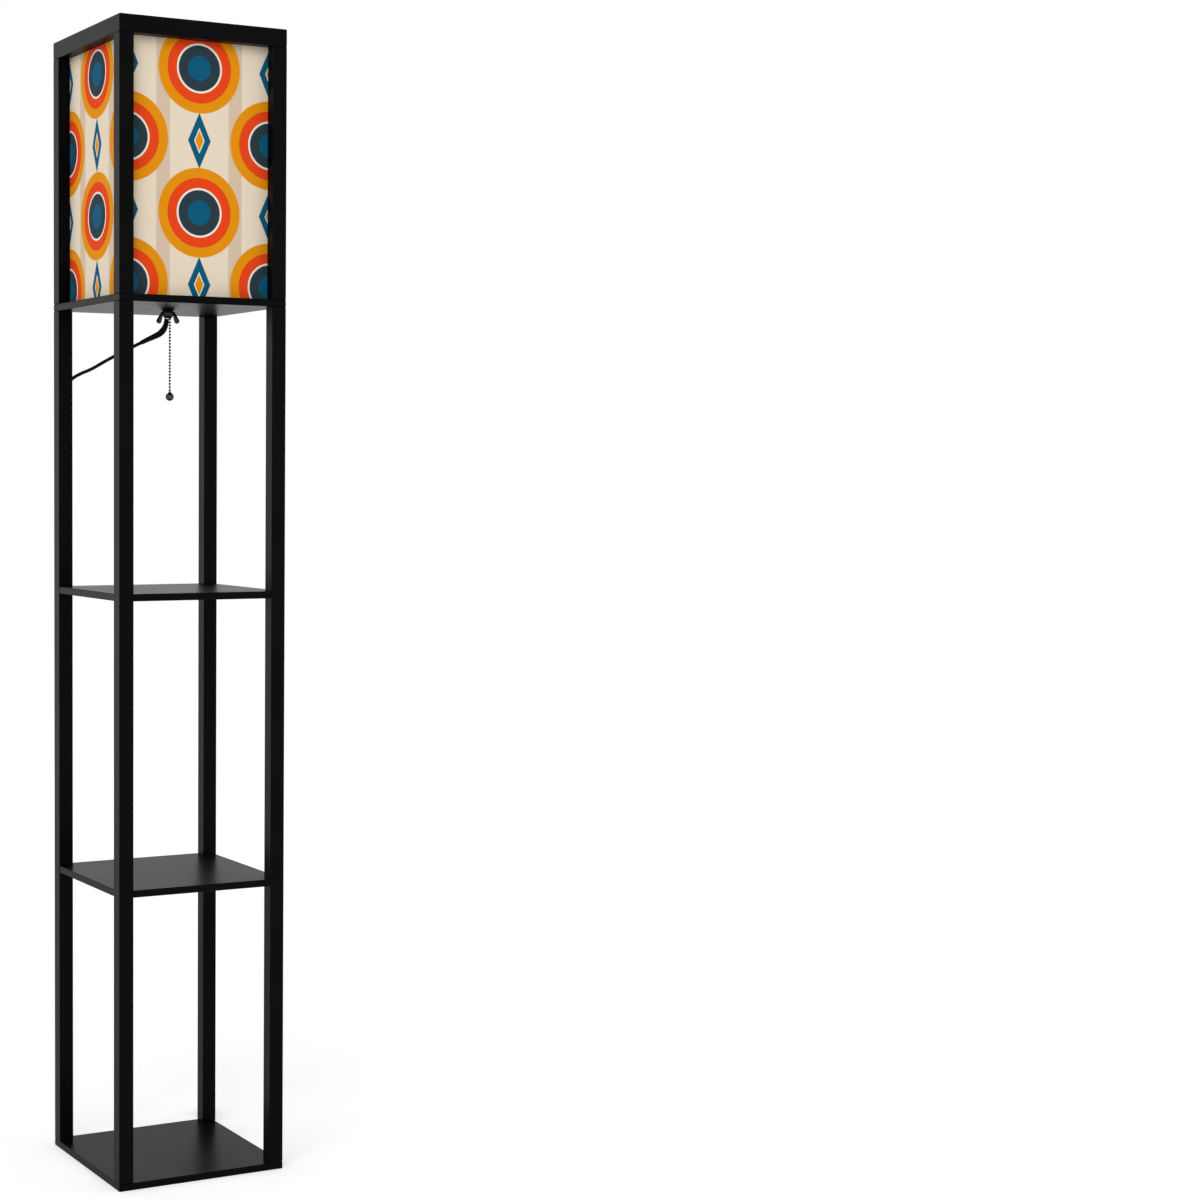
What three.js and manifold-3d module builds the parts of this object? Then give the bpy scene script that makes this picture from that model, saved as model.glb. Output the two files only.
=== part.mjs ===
import * as THREE from 'three';
import Module from 'manifold-3d';
import { mergeVertices } from 'three/addons/utils/BufferGeometryUtils.js';

const wasm = await Module();
wasm.setup();

// All sizes are millimetres. The origin is the centre of the base on the floor,
// +X runs to the right along the front, the front faces -Y and +Z is up.

// Frame
const frameWidth = 250;
const frameHeight = 1600;
const boardThickness = 10;
const shelfPitch = 406;
const shelfInset = 0.5;
const postSide = 21;
const railWidth = 21;
const railHeight = 24;
const edgeChamfer = 0.8;
const fitGap = 0.3;
const mitreGap = 0.3;

// Shade panels, in rebates of the posts and grooves of the rails
const panelRecess = 17.4;
const panelThickness = 1.2;
const grooveWidth = 1.8;
const grooveHeight = 4;

// Screws, studs and pins
const studRadius = 3;
const studReach = 25;
const studTipChamfer = 0.8;
const screwRadius = 2;
const screwHeadRadius = 4;
const screwHeadHeight = 2.4;
const screwHeadSink = 0.2;
const screwTipLength = 4;
const baseScrewLength = 35;
const topScrewLength = 45;
const recessWidth = 1;
const recessLength = 4.4;
const recessDepth = 1.3;
const pinRadius = 2;
const pinInPost = 8;
const pinInBoard = 12;
const pinChamfer = 0.4;

// Lamp holder
const holderRadius = 20;
const holderNeckRadius = 18.2;
const holderHeight = 74;
const holderFloor = 4;
const upperCavityDepth = 30;
const holderStepRise = 2;
const holderRimChamfer = 1;
const lowerCavityRadius = 16;
const webThickness = 4;
const webHoleRadius = 2.5;
const upperCavityRadius = 14.6;
const shellOuterRadius = 14.2;
const shellInnerRadius = 13.6;
const shellHeight = 26;
const shellLift = 2;
const shellThreadPitch = 3.6;
const shellThreadDepth = 0.3;
const contactRadius = 5;
const contactHeight = 3;
const contactTipRadius = 2.2;

// Bulb
const capHeight = 25;
const capRadius = 13;
const capThreadStart = 7.2;
const capThreadPitch = 3.6;
const capThreadDepth = 0.6;
const capShoulderRadius = 11.4;
const capShoulderHeight = 5.4;
const capTipRadius = 4.6;
const capTipHeight = 1.6;
const bulbHeight = 110;
const bulbRadius = 30;
const bulbNeckRadius = 12.4;
const glassWall = 0.8;

// Fixing below the lamp shelf
const nippleRadius = 6;
const nippleBore = 5;
const nippleTail = 12.5;
const nippleFlangeRadius = 9;
const nippleFlangeHeight = 2.5;
const washerRadius = 10;
const washerBore = 6.4;
const washerThickness = 1.5;
const nutHubRadius = 7.8;
const nutHubFootRadius = 7;
const nutHeight = 9;
const nutRim = 0.8;
const wingRootDistance = 6.9;
const wingRootDrop = 3.6;
const wingRootHalfWidth = 2.6;
const wingTipDistance = 12.6;
const wingTipDrop = 15;
const wingTipRadius = 3.8;
const wingThickness = 2.4;
const wingBevel = 0.5;
const wingTurn = -23.7;

// Pull chain
const cordTurn = 128.6;
const cordOffset = 2;
const chainOffset = 3.1;
const beadRadius = 1.6;
const beadPitch = 4.35;
const wireRadius = 0.4;
const rodRadius = 0.8;
const pivotDrop = 1.5;
const collarRadius = 3;
const collarHeight = 2;
const collarLift = 20;
const ballRadius = 5.8;
const ballNeckRadius = 2.2;
const ballNeckRise = 7.6;
const springCoilRadius = 2.3;
const springWireRadius = 0.4;
const leadSpread = 7;

// Mains cord, its sleeve, plug and clips
const cordRadius = 2.5;
const sleeveStartRadius = 3.2;
const sleeveWidestRadius = 4.7;
const sleeveWidestShare = 0.35;
const sleeveEndRadius = 3.1;
const sleeveRib = 0.35;
const plugNeckStartRadius = 3.2;
const plugNeckEndRadius = 5.2;
const plugNeckLength = 13;
const plugNeckInside = 3;
const plugLength = 27;
const plugWidth = 20;
const plugThickness = 14.8;
const plugShoulder = 6;
const plugTaper = 4.5;
const plugBevel = 2;
const bridgeWidth = 16;
const bridgeHeight = 8;
const bridgeThickness = 1.2;
const bladeSpacing = 12.7;
const bladeHeight = 6.3;
const bladeThickness = 1.5;
const bladeLength = 16;
const bladeTipChamfer = 1.2;
const bladeEdge = 0.2;
const clipPlateThickness = 1.6;
const clipPlateHeight = 12;
const clipPlateLeft = -117;
const clipPlateRight = -105;
const clipRingWall = 1.6;
const clipRingHeight = 8;
const clipMouthTurn = 35;
const clipEdge = 0.3;
const clipUpperLevel = 1074;
const clipLowerLevel = 110;

// Centre line of the cord, from below the lamp holder's mouth to the plug: down in an
// easy bend, over to the rear-left post, down behind it, along the base's rear edge on
// the floor and out behind the rear-right post.
const cordRoute = [
  [-1.2, 1.6, 1204.8],
  [-1.9, 2.4, 1197.2],
  [-4.2, 5.3, 1189.8],
  [-8.0, 10.0, 1184.2],
  [-12.5, 15.6, 1180.8],
  [-17.2, 21.6, 1177.9],
  [-22.0, 27.5, 1174.9],
  [-26.7, 33.4, 1171.8],
  [-37.5, 46.9, 1164.8],
  [-48.7, 60.9, 1157.2],
  [-62.4, 78.1, 1147.2],
  [-78.0, 97.6, 1135.4],
  [-89.6, 112.0, 1128.6],
  [-97.2, 121.2, 1122.6],
  [-102.8, 128.1, 1114.7],
  [-106.8, 130.7, 1106.0],
  [-108.0, 131.0, 1095.0],
  [-108.0, 131.0, 1082.0],
  [-108.0, 131.0, 900.0],
  [-108.0, 131.0, 600.0],
  [-108.0, 131.0, 300.0],
  [-108.0, 131.0, 80.0],
  [-108.0, 130.9, 28.4],
  [-104.6, 130.6, 15.8],
  [-95.4, 130.2, 6.6],
  [-82.6, 129.9, 3.1],
  [-66.0, 129.7, 2.9],
  [-20.0, 129.5, 2.9],
  [40.0, 129.5, 2.9],
  [88.0, 129.6, 2.9],
  [104.6, 130.2, 3.1],
  [115.8, 133.6, 4.0],
  [124.2, 140.6, 5.4],
  [129.2, 149.2, 6.8],
  [132.6, 156.8, 7.6],
];
const sleeveSegments = 7;
const clipAfterSegments = 19;

// Smoothness
const mergeTolerance = 1e-4;
const holeSides = 16;
const turnedSides = 30;
const bulbSides = 32;
const smallSides = 12;
const beadSides = 8;
const cordSides = 10;
const cordStepsPerSegment = 2;
const sleeveSides = 12;
const sleeveStepsPerSegment = 4;
const springTurns = 6;
const springStepsPerTurn = 12;
const springSides = 6;
const arcSteps = 10;
const leadSteps = 16;
const rodBeadCount = 3;
const chainBeadCount = 21;
const beadShares = [0.3, 0.8, 1, 0.8, 0.3];
const beadHeightShares = [-0.95, -0.6, 0, 0.6, 0.95];
const leadRiseShares = [0, 0.25, 0.55, 0.8, 1];
const leadSpreadShares = [0, 0.25, 0.75, 1, 1];
const glassRadiusShares = [0.44, 0.517, 0.653, 0.82, 0.947];
const glassHeightShares = [0.291, 0.382, 0.473, 0.559, 0.641];

// Derived levels and distances
const half = frameWidth / 2;
const postInner = half - postSide;
const postCentre = half - postSide / 2;
const baseTop = boardThickness;
const lowerShelfBottom = shelfPitch;
const middleShelfBottom = 2 * shelfPitch;
const lampShelfBottom = 3 * shelfPitch;
const lampShelfTop = lampShelfBottom + boardThickness;
const railBottom = frameHeight - railHeight;
const panelTop = railBottom + grooveHeight - fitGap;
const panelMiddle = half - panelRecess - panelThickness / 2;
const panelHalf = panelMiddle - panelThickness / 2 - fitGap;
const mouthLevel = lampShelfBottom - nippleTail;
const pivotLevel = mouthLevel - pivotDrop;
const lowerPivotLevel = pivotLevel - 2 * beadPitch;
const webTop = holderHeight - upperCavityDepth;
const lowerCavityTop = webTop - webThickness;
const bulbBottom = lampShelfTop + webTop + contactHeight + fitGap;
const collarBottom = lampShelfTop + collarLift;

const cornerNames = ['front_left', 'front_right', 'rear_right', 'rear_left'];
const sideNames = ['front', 'right', 'rear', 'left'];

const finishes = {
  lacquer: { color: 0x17171a, roughness: 0.34, metalness: 0 },
  panel: { color: 0xefe3cf, roughness: 0.9, metalness: 0 },
  steel: { color: 0xb9bcc0, roughness: 0.32, metalness: 1 },
  darkChrome: { color: 0x6d7076, roughness: 0.18, metalness: 1 },
  chrome: { color: 0xd6d8dc, roughness: 0.12, metalness: 1 },
  brass: { color: 0xc9a357, roughness: 0.28, metalness: 1 },
  blackPlastic: { color: 0x111113, roughness: 0.55, metalness: 0 },
  blackRubber: { color: 0x0e0e10, roughness: 0.7, metalness: 0 },
  glass: { color: 0xf6f4ee, roughness: 0.35, metalness: 0 },
};

function piece(name, geometry, finish) {
  const mesh = new THREE.Mesh(geometry, new THREE.MeshStandardMaterial(finishes[finish]));
  mesh.name = name;
  return mesh;
}

function solidOf(geometry) {
  const plain = geometry.clone();
  plain.deleteAttribute('normal');
  plain.deleteAttribute('uv');
  const merged = mergeVertices(plain, mergeTolerance);
  const mesh = new wasm.Mesh({
    numProp: 3,
    vertProperties: new Float32Array(merged.attributes.position.array),
    triVerts: new Uint32Array(merged.index.array),
  });
  return new wasm.Manifold(mesh);
}

function geometryOf(solid) {
  const mesh = solid.getMesh();
  const indexed = new THREE.BufferGeometry();
  indexed.setAttribute('position', new THREE.BufferAttribute(mesh.vertProperties, 3));
  indexed.setIndex(new THREE.BufferAttribute(mesh.triVerts, 1));
  const flat = indexed.toNonIndexed();
  flat.computeVertexNormals();
  return flat;
}

function cut(geometry, tools) {
  return geometryOf(tools.reduce((solid, tool) => solid.subtract(solidOf(tool)), solidOf(geometry)));
}

function join(geometries) {
  const [first, ...others] = geometries.map(solidOf);
  return geometryOf(others.reduce((solid, other) => solid.add(other), first));
}

function quarterTurns(geometry) {
  return cornerNames.map((name, turn) => geometry.clone().rotateZ((turn * Math.PI) / 2));
}

function block(left, right, front, back, bottom, top) {
  const box = new THREE.BoxGeometry(right - left, back - front, top - bottom);
  return box.translate((left + right) / 2, (front + back) / 2, (bottom + top) / 2);
}

// Turned body round the vertical axis; the profile lists radius and height going up.
function turned(profile, sides) {
  const points = profile.map(([radius, level]) => new THREE.Vector2(radius, level));
  return new THREE.LatheGeometry(points, sides).rotateX(Math.PI / 2);
}

// Flat plan outline pulled upwards, with every edge broken by a small chamfer.
function chamferedPlate(outline, bottom, top, chamfer) {
  const shape = new THREE.Shape(outline.map(([x, y]) => new THREE.Vector2(x, y)));
  const plate = new THREE.ExtrudeGeometry(shape, {
    depth: top - bottom - 2 * chamfer,
    steps: 1,
    bevelEnabled: true,
    bevelThickness: chamfer,
    bevelSize: chamfer,
    bevelOffset: -chamfer,
    bevelSegments: 1,
  });
  return plate.translate(0, 0, bottom + chamfer);
}

function rectangleOutline(left, right, front, back, chamfer) {
  return [
    [left + chamfer, front],
    [right - chamfer, front],
    [right, front + chamfer],
    [right, back - chamfer],
    [right - chamfer, back],
    [left + chamfer, back],
    [left, back - chamfer],
    [left, front + chamfer],
  ];
}

function drill(x, y, bottom, top, radius) {
  const profile = [[0, bottom], [radius, bottom], [radius, top], [0, top]];
  return turned(profile, holeSides).translate(x, y, 0);
}

// Clearance hole with its countersink; the head sits at the level given, facing down or up.
function screwHole(headLevel, depth, headUp) {
  const wide = screwHeadRadius + fitGap;
  const narrow = screwRadius + fitGap;
  const sink = screwHeadHeight + screwHeadSink;
  const profile = [[0, -fitGap], [wide, -fitGap], [wide, 0], [narrow, sink], [narrow, depth], [0, depth]];
  const hole = turned(profile, holeSides);
  const facing = headUp ? hole.rotateX(Math.PI) : hole;
  return facing.translate(-postCentre, -postCentre, headLevel);
}

function screw(headLevel, length, headUp) {
  const profile = [
    [0, 0],
    [screwHeadRadius, 0],
    [screwRadius, screwHeadHeight],
    [screwRadius, length - screwTipLength],
    [0, length],
  ];
  const across = block(
    -recessLength / 2, recessLength / 2, -recessWidth / 2, recessWidth / 2, -recessDepth, recessDepth,
  );
  const along = across.clone().rotateZ(Math.PI / 2);
  const body = cut(turned(profile, holeSides), [across, along]).translate(0, 0, screwHeadSink);
  const facing = headUp ? body.rotateX(Math.PI) : body;
  return facing.translate(-postCentre, -postCentre, headLevel);
}

function stud() {
  const bottom = lampShelfBottom - studReach;
  const top = lampShelfTop + studReach;
  const profile = [
    [0, bottom],
    [studRadius - studTipChamfer, bottom],
    [studRadius, bottom + studTipChamfer],
    [studRadius, top - studTipChamfer],
    [studRadius - studTipChamfer, top],
    [0, top],
  ];
  return turned(profile, holeSides).translate(-postCentre, -postCentre, 0);
}

function pinAlongX(shelfBottom, radius, startX, endX, chamfer) {
  const length = endX - startX;
  const profile = [
    [0, 0],
    [radius - chamfer, 0],
    [radius, chamfer],
    [radius, length - chamfer],
    [radius - chamfer, length],
    [0, length],
  ];
  const pin = turned(profile, smallSides).rotateY(Math.PI / 2);
  return pin.translate(startX, -postCentre, shelfBottom + boardThickness / 2);
}

function shelfPin(shelfBottom) {
  return pinAlongX(shelfBottom, pinRadius, -postInner - pinInPost, -postInner + pinInBoard, pinChamfer);
}

function shelfPinHole(shelfBottom) {
  const start = -postInner - pinInPost - fitGap;
  const end = -postInner + pinInBoard + fitGap;
  return pinAlongX(shelfBottom, pinRadius + fitGap, start, end, pinChamfer);
}

function studHole() {
  const bottom = lampShelfBottom - studReach - fitGap;
  const top = lampShelfTop + studReach + fitGap;
  return drill(-postCentre, -postCentre, bottom, top, studRadius + fitGap);
}

function baseScrewHole() {
  return screwHole(0, baseScrewLength + screwHeadSink + fitGap, false);
}

function topScrewHole() {
  return screwHole(frameHeight, topScrewLength + screwHeadSink + fitGap, true);
}

function baseBoard() {
  const outline = rectangleOutline(-half, half, -half, half, edgeChamfer);
  const board = chamferedPlate(outline, 0, baseTop, edgeChamfer);
  return cut(board, quarterTurns(baseScrewHole()));
}

function notchedShelf(bottom) {
  const edge = half - shelfInset;
  const notch = postInner - fitGap;
  const outline = [
    [-notch, -edge],
    [notch, -edge],
    [notch, -notch],
    [edge, -notch],
    [edge, notch],
    [notch, notch],
    [notch, edge],
    [-notch, edge],
    [-notch, notch],
    [-edge, notch],
    [-edge, -notch],
    [-notch, -notch],
  ];
  const board = chamferedPlate(outline, bottom, bottom + boardThickness, edgeChamfer);
  return cut(board, quarterTurns(shelfPinHole(bottom)));
}

function lampShelf() {
  const outline = rectangleOutline(-half, half, -half, half, edgeChamfer);
  const board = chamferedPlate(outline, lampShelfBottom, lampShelfTop, edgeChamfer);
  const bottom = lampShelfBottom - fitGap;
  const top = lampShelfTop + fitGap;
  const middleHole = drill(0, 0, bottom, top, nippleRadius + fitGap);
  return cut(board, [...quarterTurns(studHole()), middleHole]);
}

function postBlank(bottom, top) {
  const outline = rectangleOutline(-half, -postInner, -half, -postInner, edgeChamfer);
  return chamferedPlate(outline, bottom, top, edgeChamfer);
}

function lowerPost() {
  const blank = postBlank(baseTop, lampShelfBottom);
  const pins = [lowerShelfBottom, middleShelfBottom].map(shelfPinHole);
  return cut(blank, [baseScrewHole(), studHole(), ...pins]);
}

// The inner corner is cut away to take the edges of both panels that meet there.
function upperPost() {
  const blank = postBlank(lampShelfTop, railBottom);
  const outer = -panelMiddle - grooveWidth / 2;
  const inner = -postInner + fitGap;
  const rebate = block(outer, inner, outer, inner, lampShelfTop - fitGap, railBottom + fitGap);
  return cut(blank, [studHole(), topScrewHole(), rebate]);
}

// Everything beyond the mitre line of one rail end, the line starting at the corner.
function mitreTool(corner, turn, near, far) {
  const bottom = railBottom - fitGap;
  const top = frameHeight + fitGap;
  const tool = block(-frameWidth, frameWidth, near, far, bottom, top);
  return tool.rotateZ(turn).translate(corner, -half, 0);
}

function topRail() {
  const outline = rectangleOutline(-half, half, -half, -half + railWidth, edgeChamfer);
  const blank = chamferedPlate(outline, railBottom, frameHeight, edgeChamfer);
  const reach = panelHalf + fitGap;
  const front = -panelMiddle - grooveWidth / 2;
  const grooveBottom = railBottom - fitGap;
  const groove = block(-reach, reach, front, front + grooveWidth, grooveBottom, railBottom + grooveHeight);
  const leftHole = topScrewHole();
  const rightHole = leftHole.clone().rotateZ(Math.PI / 2);
  const leftMitre = mitreTool(-half, Math.PI / 4, -mitreGap / 2, frameWidth);
  const rightMitre = mitreTool(half, (3 * Math.PI) / 4, -frameWidth, mitreGap / 2);
  return cut(blank, [groove, leftHole, rightHole, leftMitre, rightMitre]);
}

function shadePanel() {
  const front = -panelMiddle - panelThickness / 2;
  return block(-panelHalf, panelHalf, front, front + panelThickness, lampShelfTop, panelTop);
}

function holderHousing() {
  const upperTop = holderHeight - holderRimChamfer;
  const profile = [
    [nippleRadius + fitGap, 0],
    [holderRadius - holderRimChamfer, 0],
    [holderRadius, holderRimChamfer],
    [holderRadius, webTop],
    [holderNeckRadius, webTop + holderStepRise],
    [holderNeckRadius, upperTop],
    [holderNeckRadius - holderRimChamfer, holderHeight],
    [upperCavityRadius, holderHeight],
    [upperCavityRadius, webTop],
    [webHoleRadius, webTop],
    [webHoleRadius, lowerCavityTop],
    [lowerCavityRadius, lowerCavityTop],
    [lowerCavityRadius, holderFloor],
    [nippleRadius + fitGap, holderFloor],
    [nippleRadius + fitGap, 0],
  ];
  return turned(profile, turnedSides).translate(0, 0, lampShelfTop);
}

// Thin threaded shell: its inner face carries the rolled thread, its outer face is plain.
function screwShell() {
  const bottom = webTop + shellLift;
  const waves = Math.floor(shellHeight / shellThreadPitch);
  const inside = [];
  for (let wave = 0; wave < waves; wave += 1) {
    const start = bottom + wave * shellThreadPitch;
    inside.push([shellInnerRadius, start]);
    inside.push([shellInnerRadius - shellThreadDepth, start + shellThreadPitch / 2]);
  }
  inside.push([shellInnerRadius, bottom + shellHeight]);
  const outside = [
    [shellOuterRadius, bottom],
    [shellOuterRadius, bottom + shellHeight],
  ];
  const profile = [...outside, ...inside.reverse(), outside[0]];
  return turned(profile, turnedSides).translate(0, 0, lampShelfTop);
}

function centreContact() {
  const bottom = lampShelfTop + webTop;
  const top = bottom + contactHeight;
  const profile = [
    [0, bottom],
    [contactRadius, bottom],
    [contactRadius, bottom + contactHeight / 2],
    [contactTipRadius, top],
    [0, top],
  ];
  return turned(profile, smallSides);
}

function bulbCap() {
  const profile = [
    [0, 0],
    [capTipRadius, 0],
    [capTipRadius + capTipHeight, capTipHeight],
    [capShoulderRadius, capShoulderHeight],
  ];
  const waves = Math.floor((capHeight - capThreadStart) / capThreadPitch);
  for (let wave = 0; wave < waves; wave += 1) {
    const start = capThreadStart + wave * capThreadPitch;
    profile.push([capRadius - capThreadDepth, start]);
    profile.push([capRadius, start + capThreadPitch / 2]);
  }
  profile.push([capRadius - capThreadDepth, capThreadStart + waves * capThreadPitch]);
  profile.push([capRadius - capThreadDepth, capHeight]);
  profile.push([0, capHeight]);
  return turned(profile, turnedSides).translate(0, 0, bulbBottom);
}

// Pear-shaped thin glass, open at the neck where it stands on the cap.
function bulbGlass() {
  const centre = bulbHeight - bulbRadius;
  const neck = glassRadiusShares.map((share, index) => {
    return [bulbRadius * share, bulbHeight * glassHeightShares[index]];
  });
  neck.unshift([bulbNeckRadius, capHeight]);
  const dome = (radius) => {
    const points = [];
    for (let step = 0; step <= arcSteps; step += 1) {
      const angle = (Math.PI / 2) * (step / arcSteps);
      points.push([radius * Math.cos(angle), centre + radius * Math.sin(angle)]);
    }
    points[arcSteps][0] = 0;
    return points;
  };
  const outside = [...neck, ...dome(bulbRadius)];
  const insideNeck = neck.map(([radius, level]) => [radius - glassWall, level]);
  const inside = [...insideNeck, ...dome(bulbRadius - glassWall)].reverse();
  return turned([...outside, ...inside, outside[0]], bulbSides).translate(0, 0, bulbBottom);
}

function nipple() {
  const flangeBottom = lampShelfTop + holderFloor;
  const flangeTop = flangeBottom + nippleFlangeHeight;
  const profile = [
    [nippleBore, mouthLevel],
    [nippleRadius, mouthLevel],
    [nippleRadius, flangeBottom],
    [nippleFlangeRadius, flangeBottom],
    [nippleFlangeRadius, flangeTop],
    [nippleBore, flangeTop],
    [nippleBore, mouthLevel],
  ];
  return turned(profile, turnedSides);
}

function washer() {
  const bottom = lampShelfBottom - washerThickness;
  const profile = [
    [washerBore, bottom],
    [washerRadius, bottom],
    [washerRadius, lampShelfBottom],
    [washerBore, lampShelfBottom],
    [washerBore, bottom],
  ];
  return turned(profile, turnedSides);
}

// Paddle-shaped wing that leaves the hub sideways and droops.
function nutWing() {
  const root = [wingRootDistance, -wingRootDrop];
  const tip = [wingTipDistance, -wingTipDrop];
  const lean = Math.atan2(tip[1] - root[1], tip[0] - root[0]);
  const roundEnd = (centre, radius, startAngle) => {
    const points = [];
    for (let step = 0; step <= arcSteps; step += 1) {
      const angle = startAngle + Math.PI * (step / arcSteps);
      points.push([centre[0] + radius * Math.cos(angle), centre[1] + radius * Math.sin(angle)]);
    }
    return points;
  };
  const outline = [
    ...roundEnd(tip, wingTipRadius, lean - Math.PI / 2),
    ...roundEnd(root, wingRootHalfWidth, lean + Math.PI / 2),
  ];
  const plate = chamferedPlate(outline, -wingThickness / 2, wingThickness / 2, wingBevel);
  return plate.rotateX(Math.PI / 2);
}

function wingNut() {
  const top = lampShelfBottom - washerThickness;
  const hub = [
    [0, -nutHeight],
    [nutHubFootRadius - nutRim, -nutHeight],
    [nutHubFootRadius, -nutHeight + nutRim],
    [nutHubRadius, -nutRim],
    [nutHubRadius, 0],
    [0, 0],
  ];
  const firstWing = nutWing();
  const secondWing = firstWing.clone().rotateZ(Math.PI);
  const body = join([turned(hub, turnedSides), firstWing, secondWing]);
  const bore = drill(0, 0, -wingTipDrop - wingTipRadius, fitGap, nippleRadius + fitGap);
  const turn = THREE.MathUtils.degToRad(wingTurn);
  return cut(body, [bore]).rotateZ(turn).translate(0, 0, top);
}

// Place on the line from the chain (negative distance) to the cord (positive distance).
function besideMiddle(distance, level) {
  const turn = THREE.MathUtils.degToRad(cordTurn);
  return new THREE.Vector3(distance * Math.cos(turn), distance * Math.sin(turn), level);
}

function onChainLine(geometry) {
  const place = besideMiddle(-chainOffset, 0);
  return geometry.translate(place.x, place.y, place.z);
}

function bead(level) {
  return beadShares.map((share, index) => {
    return [beadRadius * share, level + beadRadius * beadHeightShares[index]];
  });
}

// Beads on a wire between two levels, the lowest bead at the level given.
function beadChain(firstBead, beadCount, top) {
  const profile = [[0, firstBead - beadRadius]];
  for (let count = 0; count < beadCount; count += 1) {
    profile.push(...bead(firstBead + count * beadPitch));
  }
  profile.push([wireRadius, top]);
  profile.push([0, top]);
  return onChainLine(turned(profile, beadSides));
}

function chainUpper() {
  return beadChain(lowerPivotLevel, 2, pivotLevel - beadRadius - fitGap);
}

function chainLower() {
  const top = lowerPivotLevel - beadRadius - fitGap;
  const lowest = lowerPivotLevel - chainBeadCount * beadPitch;
  return beadChain(lowest, chainBeadCount, top);
}

function pullRod() {
  const profile = [[0, pivotLevel - beadRadius]];
  for (let count = 0; count < rodBeadCount; count += 1) {
    profile.push(...bead(pivotLevel + count * beadPitch));
  }
  const rodStart = pivotLevel + rodBeadCount * beadPitch;
  profile.push([wireRadius, rodStart - beadRadius]);
  profile.push([rodRadius, rodStart]);
  profile.push([rodRadius, collarBottom]);
  profile.push([collarRadius, collarBottom]);
  profile.push([collarRadius, collarBottom + collarHeight]);
  profile.push([0, collarBottom + collarHeight]);
  return onChainLine(turned(profile, smallSides));
}

function pullBall() {
  const neckTop = lowerPivotLevel - chainBeadCount * beadPitch - beadRadius - fitGap;
  const centre = neckTop - ballNeckRise;
  const neckAngle = Math.acos(ballNeckRadius / ballRadius);
  const profile = [[0, centre - ballRadius]];
  for (let step = 1; step <= arcSteps; step += 1) {
    const angle = -Math.PI / 2 + (neckAngle + Math.PI / 2) * (step / arcSteps);
    profile.push([ballRadius * Math.cos(angle), centre + ballRadius * Math.sin(angle)]);
  }
  profile.push([ballNeckRadius, neckTop]);
  profile.push([0, neckTop]);
  return onChainLine(turned(profile, smallSides));
}

// Round tube along a curve between two of its shares, closed at both ends.
function sweptTube(curve, startShare, endShare, steps, sides, radiusAt) {
  const corners = [];
  const faces = [];
  const normal = new THREE.Vector3(1, 0, 0);
  const addCorner = (point) => corners.push(point.x, point.y, point.z);
  for (let step = 0; step <= steps; step += 1) {
    const at = startShare + (endShare - startShare) * (step / steps);
    const centre = curve.getPoint(at);
    const ahead = curve.getTangent(at);
    normal.addScaledVector(ahead, -normal.dot(ahead)).normalize();
    const across = new THREE.Vector3().crossVectors(ahead, normal);
    for (let side = 0; side < sides; side += 1) {
      const angle = (2 * Math.PI * side) / sides;
      const outward = normal.clone().multiplyScalar(Math.cos(angle));
      outward.addScaledVector(across, Math.sin(angle));
      addCorner(outward.multiplyScalar(radiusAt(step)).add(centre));
    }
  }
  addCorner(curve.getPoint(startShare));
  addCorner(curve.getPoint(endShare));
  const lastRing = steps * sides;
  const startCentre = lastRing + sides;
  const endCentre = startCentre + 1;
  for (let side = 0; side < sides; side += 1) {
    const next = (side + 1) % sides;
    for (let ring = 0; ring < lastRing; ring += sides) {
      faces.push(ring + side, ring + next, ring + sides + next);
      faces.push(ring + side, ring + sides + next, ring + sides + side);
    }
    faces.push(startCentre, next, side);
    faces.push(endCentre, lastRing + side, lastRing + next);
  }
  const tube = new THREE.BufferGeometry();
  tube.setAttribute('position', new THREE.Float32BufferAttribute(corners, 3));
  tube.setIndex(faces);
  const flat = tube.toNonIndexed();
  flat.computeVertexNormals();
  return flat;
}

function smoothCurve(points) {
  return new THREE.CatmullRomCurve3(points, false, 'centripetal');
}

function cordCurve() {
  return smoothCurve(cordRoute.map(([x, y, z]) => new THREE.Vector3(x, y, z)));
}

function strainRelief() {
  const endShare = sleeveSegments / (cordRoute.length - 1);
  const steps = sleeveSegments * sleeveStepsPerSegment;
  const radiusAt = (step) => {
    const share = step / steps;
    const growth = Math.min(share / sleeveWidestShare, 1);
    const taper = Math.max((share - sleeveWidestShare) / (1 - sleeveWidestShare), 0);
    const grown = THREE.MathUtils.lerp(sleeveStartRadius, sleeveWidestRadius, growth);
    const plain = THREE.MathUtils.lerp(grown, sleeveEndRadius, taper);
    const ribbed = step > sleeveStepsPerSegment && step < steps && step % 2 === 1;
    return ribbed ? plain - sleeveRib : plain;
  };
  return sweptTube(cordCurve(), 0, endShare, steps, sleeveSides, radiusAt);
}

function powerCord() {
  const segments = cordRoute.length - 1;
  const curve = cordCurve();
  const sleeveEnd = sleeveSegments / segments;
  const nextPoint = (sleeveSegments + 1) / segments;
  const nextLength = curve.getPoint(sleeveEnd).distanceTo(curve.getPoint(nextPoint));
  const start = sleeveEnd + (fitGap / nextLength) * (nextPoint - sleeveEnd);
  const steps = (segments - sleeveSegments) * cordStepsPerSegment;
  return sweptTube(curve, start, 1, steps, cordSides, () => cordRadius);
}

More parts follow.
